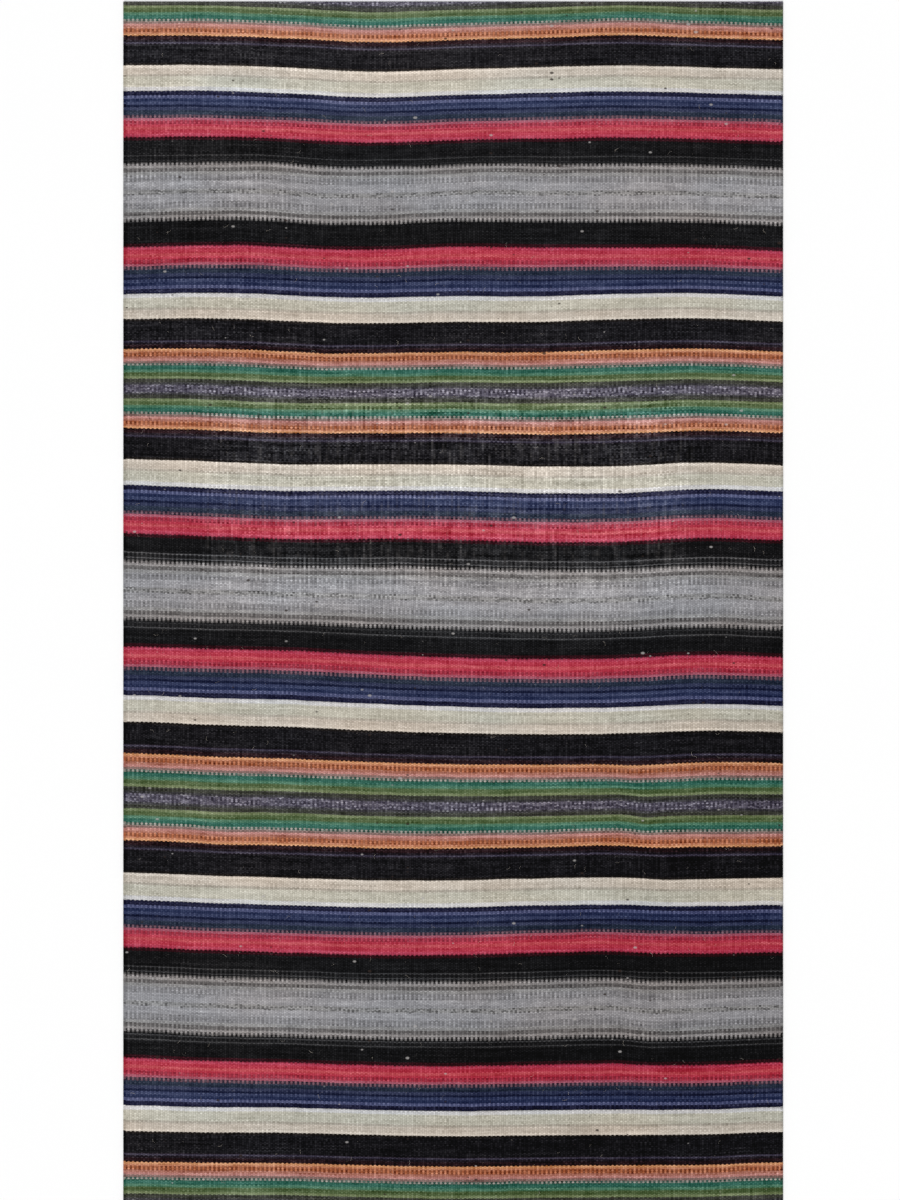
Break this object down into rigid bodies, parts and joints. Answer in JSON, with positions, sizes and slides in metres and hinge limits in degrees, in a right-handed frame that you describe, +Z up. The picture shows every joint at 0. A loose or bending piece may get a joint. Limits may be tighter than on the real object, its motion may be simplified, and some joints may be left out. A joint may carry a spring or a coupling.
{
  "type": "striped flatwoven kilim rug",
  "caption": "Flat rectangular weft-faced wool rug with ribbed lengthwise warps, crosswise stripes, thick woven selvedges along both sides and plain ends.",
  "frame": {"origin": "middle of the underside, on the floor", "axes": "+Y along the length and the warps, +X across the width and along the stripes, +Z up through the cloth"},
  "size_m": [1.5, 2.73, 0.0048],
  "materials": {
    "wool_weft": "matte hand-spun wool, weft-faced plain weave in mirrored stripes of charcoal, violet, green, pink, orange, black, cream, navy, red and grey"
  },
  "bodies": {
    "root": {"kilim_cloth": "wool_weft"}
  },
  "joints": []
}
